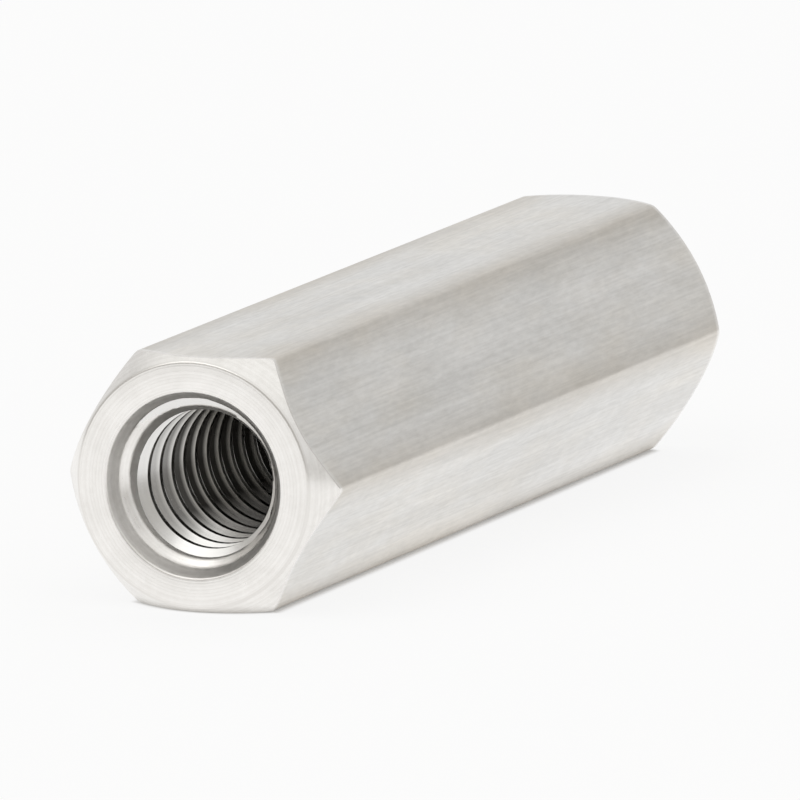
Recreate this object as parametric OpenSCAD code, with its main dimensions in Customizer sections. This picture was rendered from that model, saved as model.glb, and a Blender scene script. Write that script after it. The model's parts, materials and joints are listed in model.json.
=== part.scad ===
// Hex standoff: one length of drawn hexagon bar, lying on a flat.
// Both ends are faced and chamfered on a lathe, then drilled through, countersunk and tapped.
// The bar's axis runs along Y. The origin is under the middle of the bar, on the surface it lies on.

/* [Bar] */
// Distance between two opposite flats, which is the spanner size
across_flats = 6; // [5.5:0.5:12]
// Distance between the two end faces
length = 25; // [6:1:60]
// Radius of the six long edges, as the bar was drawn
edge_radius = 0.2; // [0.05:0.05:0.5]

/* [End chamfers] */
// How far the round rim of each end face stays inside the flats
chamfer_inset = 0.1; // [0.05:0.05:0.4]
// Slope of the chamfer, measured from the end face
chamfer_angle = 55; // [30:1:65]

/* [Threaded bore] */
// Nominal diameter of the screw that the thread takes
thread_diameter = 4; // [2.5:0.5:4.5]
// Distance between two turns of the thread
thread_pitch = 0.7; // [0.45:0.05:0.8]
// How far the countersink's mouth stands clear of the thread, all round
countersink_clearance = 0.2; // [0.05:0.05:0.4]
// Full angle of the countersink's cone
countersink_angle = 65; // [60:1:120]

/* [Hidden] */
$fn = 96;

flat_count = 6;
half_step = 180 / flat_count;
half_flats = across_flats / 2;

// The long edges: each is an arc that meets both its flats without a break
arc_steps = 6;
arc_centre = (half_flats - edge_radius) / cos(half_step);
corner_radius = arc_centre + edge_radius;

// The chamfer's cone, carried out until it clears the corners
rim_radius = half_flats - chamfer_inset;
turning_room = 1;
turned_radius = corner_radius + turning_room;
turned_depth = (turned_radius - rim_radius) * tan(chamfer_angle);

// The bore is drilled at the thread's crests: the screw's diameter less one pitch
bore_radius = (thread_diameter - thread_pitch) / 2;
mouth_radius = thread_diameter / 2 + countersink_clearance;
countersink_depth = (mouth_radius - bore_radius) / tan(countersink_angle / 2);
overrun = 1;
overrun_radius = mouth_radius + overrun * tan(countersink_angle / 2);

// The bar's section, with two of its flats level: an arc at each corner and a straight flat between
module bar_section() {
    polygon([
        for (corner = [0 : flat_count - 1], step = [0 : arc_steps])
            let (
                middle = 2 * corner * half_step,
                turn = middle - half_step + 2 * half_step * step / arc_steps
            )
                arc_centre * [cos(middle), sin(middle)] + edge_radius * [cos(turn), sin(turn)]
    ]);
}

// Everything that the lathe leaves between the two end faces
module turned_envelope() {
    rotate_extrude()
        polygon([
            [0, -length / 2],
            [rim_radius, -length / 2],
            [turned_radius, turned_depth - length / 2],
            [turned_radius, length / 2 - turned_depth],
            [rim_radius, length / 2],
            [0, length / 2]
        ]);
}

// The drilled bore with a countersink at each mouth
module drilled_bore() {
    rotate_extrude()
        polygon([
            [0, -length / 2 - overrun],
            [overrun_radius, -length / 2 - overrun],
            [bore_radius, countersink_depth - length / 2],
            [bore_radius, length / 2 - countersink_depth],
            [overrun_radius, length / 2 + overrun],
            [0, length / 2 + overrun]
        ]);
}

module hex_standoff() {
    color([0.78, 0.77, 0.74])
        translate([0, 0, half_flats])
            rotate([90, 0, 0])
                difference() {
                    intersection() {
                        linear_extrude(height = length, center = true) bar_section();
                        turned_envelope();
                    }
                    drilled_bore();
                }
}

hex_standoff();
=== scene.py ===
import json
import math

import bmesh
import bpy
import numpy as np
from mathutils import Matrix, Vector


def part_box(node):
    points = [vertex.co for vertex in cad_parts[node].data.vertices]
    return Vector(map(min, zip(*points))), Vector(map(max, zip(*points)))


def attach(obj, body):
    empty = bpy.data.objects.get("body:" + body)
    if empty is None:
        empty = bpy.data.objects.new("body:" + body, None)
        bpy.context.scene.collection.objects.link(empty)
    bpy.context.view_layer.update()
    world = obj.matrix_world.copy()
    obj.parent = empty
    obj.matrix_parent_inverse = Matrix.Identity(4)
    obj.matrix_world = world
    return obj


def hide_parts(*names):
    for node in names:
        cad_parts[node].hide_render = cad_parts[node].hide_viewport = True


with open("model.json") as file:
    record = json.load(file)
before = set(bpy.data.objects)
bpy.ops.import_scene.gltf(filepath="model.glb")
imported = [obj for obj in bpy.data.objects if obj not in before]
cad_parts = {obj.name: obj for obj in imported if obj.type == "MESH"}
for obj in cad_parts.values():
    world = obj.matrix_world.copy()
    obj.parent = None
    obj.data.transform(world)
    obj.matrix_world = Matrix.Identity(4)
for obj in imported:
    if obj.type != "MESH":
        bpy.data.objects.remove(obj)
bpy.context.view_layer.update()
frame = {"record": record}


# The standoff
# One length of drawn stainless hexagon bar, bare all over, lying on one of its flats. Each end is faced and
# chamfered on a lathe, drilled, countersunk and tapped, so a right-hand thread runs through from end to end.
# The flats keep the bar's drawn skin, the ends show the lathe's rings, and the thread darkens further in,
# partly with stain and partly with painted shade.
MM = 0.001
low, high = (Vector(corner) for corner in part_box("hex_standoff"))
across_flats = high.z - low.z
half_flats = across_flats / 2
half_length = (high.y - low.y) / 2
bore_mount = next(mount for mount in frame["record"]["mounts"] if mount["name"] == "threaded_bore")

# The drawn section: six rounded edges, and flats that roll over a little towards them
flat_count = 6
edge_radius = 0.2 * MM
roll_width = 0.7 * MM
roll_depth = 0.022 * MM
arc_steps = 4
flat_steps = 16


def section_columns():
    """The bar's outline over a full turn: polar angle, radius and how near each point is to a long edge.

    Since the flats roll over, the long edges lie a little inside those of a true hexagon.
    """
    corner_step = 2 * math.pi / flat_count
    arc_centre = (half_flats - roll_depth - edge_radius) / math.cos(corner_step / 2)
    flat_width = 2 * arc_centre * math.sin(corner_step / 2)
    outline = []
    for corner in range(flat_count):
        corner_angle = corner * corner_step
        for step in range(arc_steps + 1):
            turn = corner_angle + corner_step * (step / arc_steps - 0.5)
            x = arc_centre * math.cos(corner_angle) + edge_radius * math.cos(turn)
            z = arc_centre * math.sin(corner_angle) + edge_radius * math.sin(turn)
            outline.append((x, z, 1.0))
        facing = corner_angle + corner_step / 2
        for step in range(1, flat_steps):
            along = -math.cos(math.pi * step / flat_steps) * flat_width / 2
            to_edge = flat_width / 2 - abs(along)
            near_edge = max(0.0, 1 - to_edge / roll_width)
            out = half_flats - roll_depth * near_edge ** 2
            x = out * math.cos(facing) - along * math.sin(facing)
            z = out * math.sin(facing) + along * math.cos(facing)
            outline.append((x, z, near_edge))
    x, z, near_edge = np.array(outline).T
    angle = np.unwrap(np.arctan2(z, x))
    angle = np.append(angle, angle[0] + 2 * math.pi)
    radius = np.append(np.hypot(x, z), math.hypot(x[0], z[0]))
    return angle, radius, np.append(near_edge, near_edge[0])


# The turned ends: a steep chamfer across the edges, and a small round that deburring leaves on each corner
rim_inset = 0.1 * MM
rim_radius = half_flats - rim_inset
chamfer_angle = math.radians(55)
chamfer_slope = math.tan(chamfer_angle)
deburr = 0.035 * MM
deburr_steps = 3


def deburred(before, corner, after):
    """Rows of a small round at one corner of the lengthwise profile.

    Each point of the profile is a pair (radius, y) of rows, with one value for each column.
    """
    corner = np.array(corner)
    into = np.array(before) - corner
    out = np.array(after) - corner
    start = corner + into / np.linalg.norm(into, axis=0) * deburr
    end = corner + out / np.linalg.norm(out, axis=0) * deburr
    rows = []
    for t in np.linspace(0, 1, deburr_steps + 1):
        rows.append((1 - t) ** 2 * start + 2 * t * (1 - t) * corner + t ** 2 * end)
    return rows


# The bore: a countersink with a steep lip, a cone and a tapered lead-in, and then a metric thread
crest_radius = bore_mount["dims"]["r_mm"] * MM
mouth_depth = half_length - bore_mount["dims"]["length_mm"] * MM / 2
mouth_radius = 2.2 * MM
lip_depth, lip_radius = 0.36 * MM, 2.0 * MM
lead_depth, lead_radius = 0.52 * MM, 1.82 * MM
thread_pitch = 0.7 * MM
root_radius = 2.01 * MM
root_width = thread_pitch / 8
flank_angle = math.radians(30)
flank_width = (root_radius - crest_radius) * math.tan(flank_angle)
rows_per_pitch = 20


def thread_radius(along):
    """The tapped wall's radius at each distance along the thread's profile: crest, flank, root, flank."""
    place = np.abs((along / thread_pitch + 0.5) % 1.0 - 0.5) * thread_pitch
    into_flank = (place - root_width / 2) / flank_width
    blend = np.clip(into_flank, 0.0, 1.0)
    return root_radius + (crest_radius - root_radius) * blend


def countersink_radius(y):
    """The countersink's radius along the bar. Past its end it falls under the thread's crests."""
    past_depth = 2 * mouth_depth - lead_depth
    past_radius = 2 * crest_radius - lead_radius
    depths = (0, lip_depth, lead_depth, past_depth)
    return np.interp(half_length - np.abs(y), depths, (mouth_radius, lip_radius, lead_radius, past_radius))


def moved_to_creases(y, gap):
    """Moves the row nearest to each change of sign of gap onto it, so that an edge runs along the crease."""
    value = gap(y)
    row, column = np.nonzero(value[:-1] * value[1:] < 0)
    share = value[row, column] / (value[row, column] - value[row + 1, column])
    place = y[row, column] + share * (y[row + 1, column] - y[row, column])
    y[row + (share > 0.5), column] = place
    return y


angle, outline_radius, near_edge = section_columns()
setback = (outline_radius - rim_radius) * chamfer_slope
unworn = np.zeros_like(angle)
worn = np.ones_like(angle)


def turned_circle(radius, y):
    """A circle that the lathe leaves, as a pair of rows."""
    return np.full_like(angle, radius), np.full_like(angle, y)


# The outside's profile runs from the front mouth over the flats to the rear mouth, and wears at the arrises
TURNED, DRAWN, TAPPED = range(3)
wear_reach = 0.2 * MM
front_arris, rear_arris = 3, 4
profile = [
    turned_circle(lip_radius, lip_depth - half_length),
    turned_circle(mouth_radius, -half_length),
    turned_circle(rim_radius, -half_length),
    (outline_radius, setback - half_length),
    (outline_radius, half_length - setback),
    turned_circle(rim_radius, half_length),
    turned_circle(mouth_radius, half_length),
    turned_circle(lip_radius, half_length - lip_depth),
]
rows, row_finish, row_wear = [], [], []
for index in range(1, len(profile) - 1):
    for row in deburred(*profile[index - 1:index + 2]):
        rows.append(row)
        row_finish.append(TURNED)
        row_wear.append(worn if index in (front_arris, rear_arris) else unworn)
    if index == front_arris:
        row_finish[-1] = DRAWN
        for y in (profile[front_arris][1] + wear_reach, profile[rear_arris][1] - wear_reach):
            rows.append(np.array((outline_radius, y)))
            row_finish.append(DRAWN)
            row_wear.append(unworn)

# The tapped wall's rows climb with the thread, and end on the countersinks' lips
wall_end = half_length - deburr * lip_depth / math.hypot(lip_depth, mouth_radius - lip_radius)
climb = angle / (2 * math.pi) * thread_pitch
row_count = math.ceil((2 * wall_end + 2 * thread_pitch) / thread_pitch * rows_per_pitch)
row_start = wall_end + thread_pitch * (1 - np.arange(row_count)[:, None] / rows_per_pitch)
wall_y = np.clip(row_start - (climb - climb[0]), -wall_end, wall_end)
wall_y = moved_to_creases(wall_y, lambda y: thread_radius(y + climb) - countersink_radius(y))
for crease_depth in (lip_depth, lead_depth):
    wall_y = moved_to_creases(wall_y, lambda y: half_length - np.abs(y) - crease_depth)
wall_radius = np.maximum(thread_radius(wall_y + climb), countersink_radius(wall_y))
rows.extend(np.stack([wall_radius, wall_y], axis=1))
row_finish.extend([TAPPED] * row_count)
row_wear.extend([unworn] * row_count)

rows = np.array(rows)
row_total, column_total = rows.shape[0], rows.shape[2]
points = np.stack([rows[:, 0] * np.cos(angle), rows[:, 1], half_flats + rows[:, 0] * np.sin(angle)], axis=2)
faces, face_finish = [], []
for row in range(row_total):
    here = row * column_total
    below = (row + 1) % row_total * column_total
    for column in range(column_total - 1):
        faces.append((here + column, here + column + 1, below + column + 1, below + column))
        face_finish.append(row_finish[row])

mesh = bpy.data.meshes.new("hex_standoff_body")
mesh.from_pydata(points.reshape(-1, 3).tolist(), [], faces)
# Each point also carries how worn its arris is, and how near it lies to a long edge, which sets the painted
# shade along the flats' long edges.
wear = np.array(row_wear)
painted_edge_shade = np.broadcast_to(near_edge, wear.shape)
for name, values in (("wear", wear), ("painted_edge_shade", painted_edge_shade)):
    marks = mesh.attributes.new(name, "FLOAT", "POINT")
    marks.data.foreach_set("value", values.ravel().astype(np.float32))
mesh.polygons.foreach_set("material_index", np.array(face_finish, dtype=np.int32))

# The seam and the rows that end on a lip are welded into one closed skin, and countersinks count as turned
weld_reach = 0.0004 * MM
cone_tolerance = 0.006 * MM
sharp_angle = math.radians(40)
shell = bmesh.new()
shell.from_mesh(mesh)
bmesh.ops.remove_doubles(shell, verts=shell.verts, dist=weld_reach)
bmesh.ops.recalc_face_normals(shell, faces=shell.faces)
for face in shell.faces:
    middle = face.calc_center_median()
    middle_radius = math.hypot(middle.x, middle.z - half_flats)
    if face.material_index == TAPPED and middle_radius < countersink_radius(middle.y) + cone_tolerance:
        face.material_index = TURNED
shell.to_mesh(mesh)
shell.free()
mesh.shade_smooth()
mesh.set_sharp_from_angle(angle=sharp_angle)

standoff = bpy.data.objects.new("hex_standoff_body", mesh)
bpy.context.scene.collection.objects.link(standoff)
weighting = standoff.modifiers.new("flat_shading_on_flats", "WEIGHTED_NORMAL")
weighting.keep_sharp = True


class Tone:
    """One output in a node tree. Arithmetic on it adds Math nodes, and add() puts in any other node."""

    def __init__(self, tree, output=None):
        self.tree = tree
        self.output = output

    def add(self, kind, settings=None, sockets=None, output=0):
        """A new node: its settings first, then its sockets' values or links. Returns the named output."""
        node = self.tree.nodes.new(kind)
        for name, value in (settings or {}).items():
            setattr(node, name, value)
        for name, value in (sockets or {}).items():
            if isinstance(value, Tone):
                self.tree.links.new(value.output, node.inputs[name])
            else:
                node.inputs[name].default_value = value
        return Tone(self.tree, node.outputs[output])

    def also(self, output):
        """Another output of the same node."""
        return Tone(self.tree, self.output.node.outputs[output])

    def math(self, operation, left, right):
        return self.add("ShaderNodeMath", {"operation": operation}, {0: left, 1: right})

    def __add__(self, other):
        return self.math("ADD", self, other)

    __radd__ = __add__

    def __sub__(self, other):
        return self.math("SUBTRACT", self, other)

    def __rsub__(self, other):
        return self.math("SUBTRACT", other, self)

    def __mul__(self, other):
        return self.math("MULTIPLY", self, other)

    __rmul__ = __mul__

    def __abs__(self):
        return self.math("ABSOLUTE", self, 0.0)

    def larger(self, other):
        """The larger of this value and another."""
        return self.math("MAXIMUM", self, other)

    def vector(self, operation, other, output=0):
        """Vector Math on this vector and another, which is fixed."""
        return self.add("ShaderNodeVectorMath", {"operation": operation}, {0: self, 1: other}, output)

    def part(self, axis):
        """This vector's size along one axis: X, Y or Z."""
        return self.add("ShaderNodeSeparateXYZ", None, {"Vector": self}, axis)

    def noise(self, stretch, detail=2.0, roughness=0.5):
        """Noise on this vector, with about stretch grains to the millimetre along each axis."""
        grains = self.vector("MULTIPLY", tuple(value / MM for value in stretch))
        values = {"Vector": grains, "Scale": 1.0, "Detail": detail, "Roughness": roughness}
        return self.add("ShaderNodeTexNoise", None, values, "Fac")

    def spread(self, start, end):
        """Carries this value's range from start to end onto 0 to 1."""
        values = {"Value": self, "From Min": start, "From Max": end}
        return self.add("ShaderNodeMapRange", {"clamp": True}, values, "Result")

    def between(self, dark, light):
        """The colour at this value between two colours, each of them fixed or a tone."""
        ends = [colour if isinstance(colour, Tone) else (*colour, 1) for colour in (dark, light)]
        return self.add("ShaderNodeMix", {"data_type": "RGBA"}, {0: self, 6: ends[0], 7: ends[1]}, 2)

    def tinted(self, amount, tint):
        """This colour, multiplied by a tint as far as amount says."""
        settings = {"data_type": "RGBA", "blend_type": "MULTIPLY"}
        return self.add("ShaderNodeMix", settings, {0: amount, 6: self, 7: (*tint, 1)}, 2)


def steel(name):
    """A new bare metal: its shader, and the place on the standoff that its marks are drawn from."""
    material = bpy.data.materials.new(name)
    material.use_nodes = True
    shader = material.node_tree.nodes["Principled BSDF"]
    shader.inputs["Metallic"].default_value = 1.0
    place = Tone(material.node_tree).add("ShaderNodeTexCoord", None, None, "Object")
    return material, shader, place


def feed(shader, place, colour, roughness, height, depth):
    """Links what varies over a surface: its colour, its roughness and the height of its marks."""
    bump = place.add("ShaderNodeBump", None, {"Height": height, "Strength": 1.0, "Distance": depth})
    for name, tone in (("Base Color", colour), ("Roughness", roughness), ("Normal", bump)):
        place.tree.links.new(tone.output, shader.inputs[name])


def ring_radius(place):
    """How far a place lies from the bore's axis."""
    from_axis = place.vector("SUBTRACT", (0, 0, half_flats)).vector("MULTIPLY", (1, 0, 1))
    return from_axis.add("ShaderNodeVectorMath", {"operation": "LENGTH"}, {0: from_axis}, "Value")


def turned_steel():
    """The ends and countersinks: rings round the bore, a dull line at the chamfer's rim, a bright cone."""
    dull, bright = (0.85, 0.828, 0.795), (0.97, 0.95, 0.92)
    rings_per_mm = 16.0
    rim_line = 1.2
    line_core, line_edge = 0.01 * MM, 0.05 * MM
    step_blur = 0.03 * MM
    mark_depth = 0.003 * MM
    material, shader, place = steel("turned_stainless")
    ring = ring_radius(place)

    def outside(radius):
        """1 outside a circle round the bore and 0 inside it, with a soft step between."""
        return ring.spread(radius - step_blur, radius + step_blur)

    off_rim = abs(ring - rim_radius).spread(line_core, line_edge)
    values = {"W": ring * (1 / MM), "Scale": rings_per_mm, "Detail": 2.0}
    rings = place.add("ShaderNodeTexNoise", {"noise_dimensions": "1D"}, values, "Fac")
    speckle = place.noise((7, 7, 7), detail=3.0, roughness=0.6)
    clouds = place.noise((1.2, 1.2, 1.2))
    tone = (0.3 * rings + 0.35 * speckle + 0.35 * clouds).spread(0.37, 0.63)
    colour = (tone + rim_line * off_rim - rim_line).between(dull, bright)
    in_mouth = 1 - outside(mouth_radius)
    on_cone = outside(lead_radius) - outside(lip_radius)
    roughness = 0.17 + 0.14 * speckle + (0.2 - 0.14 * on_cone) * in_mouth
    feed(shader, place, colour, roughness, 0.6 * rings + 0.4 * speckle, mark_depth)
    return material


def drawn_steel():
    """The flats: a fine lengthwise grain, faint warm stains, painted shade towards their long edges and
    bright worn ends.
    """
    dull, bright = (0.727, 0.717, 0.695), (0.938, 0.93, 0.914)
    stain_tint = (1.0, 0.972, 0.925)
    edge_shade_tint = (0.84, 0.815, 0.78)
    mark_depth = 0.004 * MM
    material, shader, place = steel("drawn_stainless")
    streaks = place.noise((15, 0.3, 15), detail=3.0)
    bands = place.noise((1.1, 0.05, 1.1))
    speckle = place.noise((9, 2.2, 9), detail=3.0, roughness=0.6)
    clouds = place.noise((0.9, 0.4, 0.9), detail=3.0)
    darkening = place.noise((0.7, 0.2, 0.7), detail=4.0, roughness=0.6).spread(0.42, 0.68)
    at_end = place.add("ShaderNodeAttribute", {"attribute_name": "wear"}, None, "Fac")
    at_edge = place.add("ShaderNodeAttribute", {"attribute_name": "painted_edge_shade"}, None, "Fac")
    tone = (0.28 * streaks + 0.26 * bands + 0.32 * speckle + 0.2 * clouds).spread(0.39, 0.66)
    bare = (tone + 0.4 * at_end).between(dull, bright)
    stained = bare.tinted(0.7 * darkening, stain_tint)
    # Painted shade darkens the flats towards their long edges, but not at the worn ends.
    colour = stained.tinted(at_edge * (1 - at_end), edge_shade_tint)
    roughness = 0.29 + 0.1 * speckle + 0.08 * clouds - 0.08 * at_end
    feed(shader, place, colour, roughness, 0.6 * streaks + 0.3 * speckle, mark_depth)
    return material


def tapped_steel():
    """The thread: bright crests and pale first grooves, and grooves darker further in, partly from stain and
    partly from painted shade, with the bore's underside left bright as painted light.
    """
    clean, dark = (0.86, 0.85, 0.83), (0.04, 0.038, 0.035)
    deep_shade_tint = (0.45, 0.44, 0.42)
    crest_start, crest_end = crest_radius + 0.005 * MM, crest_radius + 0.09 * MM
    darkening_start, darkening_end = 1.0 * MM, 3.4 * MM
    shade_start, shade_end = 1.2 * MM, 4.5 * MM
    underside = half_flats - root_radius
    lit_height, darkened_height = 0.21 * MM, 0.81 * MM
    mark_depth = 0.001 * MM
    material, shader, place = steel("tapped_stainless")
    depth = half_length - abs(place.part("Y"))
    marks = place.noise((6, 18, 6))
    off_crest = ring_radius(place).spread(crest_start, crest_end)
    # The bore's underside, where light falls, is left out of the darkening: painted light.
    off_underside = place.part("Z").spread(underside + lit_height, underside + darkened_height)
    # Further in, the grooves darken, partly with stain and partly with painted shade.
    darkening = off_crest * off_underside * depth.spread(darkening_start, darkening_end)
    cut = (darkening - 0.06 * marks).between(clean, dark)
    # Painted shade deepens the colour further into the bore, all but on its underside.
    colour = cut.tinted(off_underside * depth.spread(shade_start, shade_end), deep_shade_tint)
    roughness = 0.2 + 0.1 * marks
    feed(shader, place, colour, roughness, marks, mark_depth)
    return material


for finish in (turned_steel, drawn_steel, tapped_steel):
    mesh.materials.append(finish())
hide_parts("hex_standoff")
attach(standoff, "root")


# The floor
# A wide pale sheet that the standoff lies on. It shows white to the camera and in the metal, and keeps the
# bar's shadow. In a narrow strip round the flat that touches it, less white is shown, which adds painted
# shade there.
floor_reach = 3.0
floor_colour = (0.95, 0.95, 0.95, 1)
contact_width = across_flats * math.tan(math.pi / flat_count)
contact_fade = 0.2 * MM
contact_white, open_white = 0.2, 0.84
floor_mesh = bpy.data.meshes.new("pale_floor")
corners = [(-1, -1), (1, -1), (1, 1), (-1, 1)]
floor_mesh.from_pydata([(x * floor_reach, y * floor_reach, low.z) for x, y in corners], [], [(0, 1, 2, 3)])
floor = bpy.data.objects.new("pale_floor", floor_mesh)
bpy.context.scene.collection.objects.link(floor)
floor_material = bpy.data.materials.new("pale_floor")
floor_material.use_nodes = True
floor_shader = floor_material.node_tree.nodes["Principled BSDF"]
floor_shader.inputs["Base Color"].default_value = floor_colour
floor_shader.inputs["Roughness"].default_value = 0.9
floor_shader.inputs["Specular IOR Level"].default_value = 0.0

lit_floor = Tone(floor_material.node_tree, floor_shader.outputs["BSDF"])
seen = lit_floor.add("ShaderNodeLightPath", None, None, "Is Camera Ray")
shown = seen.larger(seen.also("Is Glossy Ray").larger(seen.also("Is Transmission Ray")))
spot = lit_floor.add("ShaderNodeTexCoord", None, None, "Object")
# Near the contact the floor shows less of its white, so it darkens there: painted shade on top of the real
# shadow.
to_side = abs(spot.part("X")) - contact_width / 2
to_end = abs(spot.part("Y")) + (ring_radius(spot) - rim_radius) * chamfer_slope - half_length
in_open = to_side.larger(to_end).spread(0.0, contact_fade)
white_share = (contact_white + (open_white - contact_white) * in_open) * shown
white = lit_floor.add("ShaderNodeEmission", None, {"Color": (1, 1, 1, 1), "Strength": 1.0})
floor_mix = lit_floor.add("ShaderNodeMixShader", None, {0: white_share, 1: lit_floor, 2: white})
floor_output = floor_material.node_tree.nodes["Material Output"]
floor_material.node_tree.links.new(floor_mix.output, floor_output.inputs["Surface"])
floor_mesh.materials.append(floor_material)


# The studio
# A pale room with a white ceiling, brighter behind on the left and at the right so that each flat of the bar
# takes its own tone, and one soft lamp in front that reaches into the bore.
behind_left = (-0.5, 0.86, 0.0)
at_right = (0.84, -0.08, 0.53)
plain_wall, bright_wall, ceiling = (0.53, 0.519, 0.5), (0.84, 0.84, 0.84), (1.0, 1.0, 0.99)
room_strength = 0.93
world = bpy.data.worlds.new("studio")
world.use_nodes = True
bpy.context.scene.world = world
background = world.node_tree.nodes["Background"]
direction = Tone(world.node_tree).add("ShaderNodeTexCoord", None, None, "Generated")
back_glow = direction.vector("DOT_PRODUCT", behind_left, "Value").spread(0.1, 0.9)
side_glow = direction.vector("DOT_PRODUCT", at_right, "Value").spread(0.8, 0.97)
walls = (back_glow + side_glow).between(plain_wall, bright_wall)
room = direction.part("Z").spread(0.55, 0.8).between(walls, ceiling)
world.node_tree.links.new(room.output, background.inputs["Color"])
background.inputs["Strength"].default_value = room_strength

light = bpy.data.lights.new("front_softbox", "AREA")
light.shape = "SQUARE"
light.size = 0.6
light.energy = 0.6
lamp = bpy.data.objects.new("front_softbox", light)
lamp.location = (-0.28, -0.42, 0.5)
lamp.rotation_euler = (-lamp.location).to_track_quat("-Z", "Y").to_euler()
bpy.context.scene.collection.objects.link(lamp)


# The camera
# It stands well back, low and a little to the right of the bar's axis, and looks at the middle of the bar.
# The frame is a little over three times as wide as the bar is across its flats.
azimuth = math.radians(22.6)
elevation = math.radians(9.9)
distance = 100 * across_flats
frame_width = 3.15 * across_flats
aim = Vector((0, 0, half_flats))
stand = Vector((
    math.sin(azimuth) * math.cos(elevation),
    -math.cos(azimuth) * math.cos(elevation),
    math.sin(elevation),
))
lens = bpy.data.cameras.new("camera")
lens.angle = 2 * math.atan(frame_width / 2 / distance)
camera = bpy.data.objects.new("camera", lens)
camera.location = aim + distance * stand
camera.rotation_euler = (-stand).to_track_quat("-Z", "Y").to_euler()
bpy.context.scene.collection.objects.link(camera)
bpy.context.scene.camera = camera
bpy.context.scene.view_settings.view_transform = "Standard"
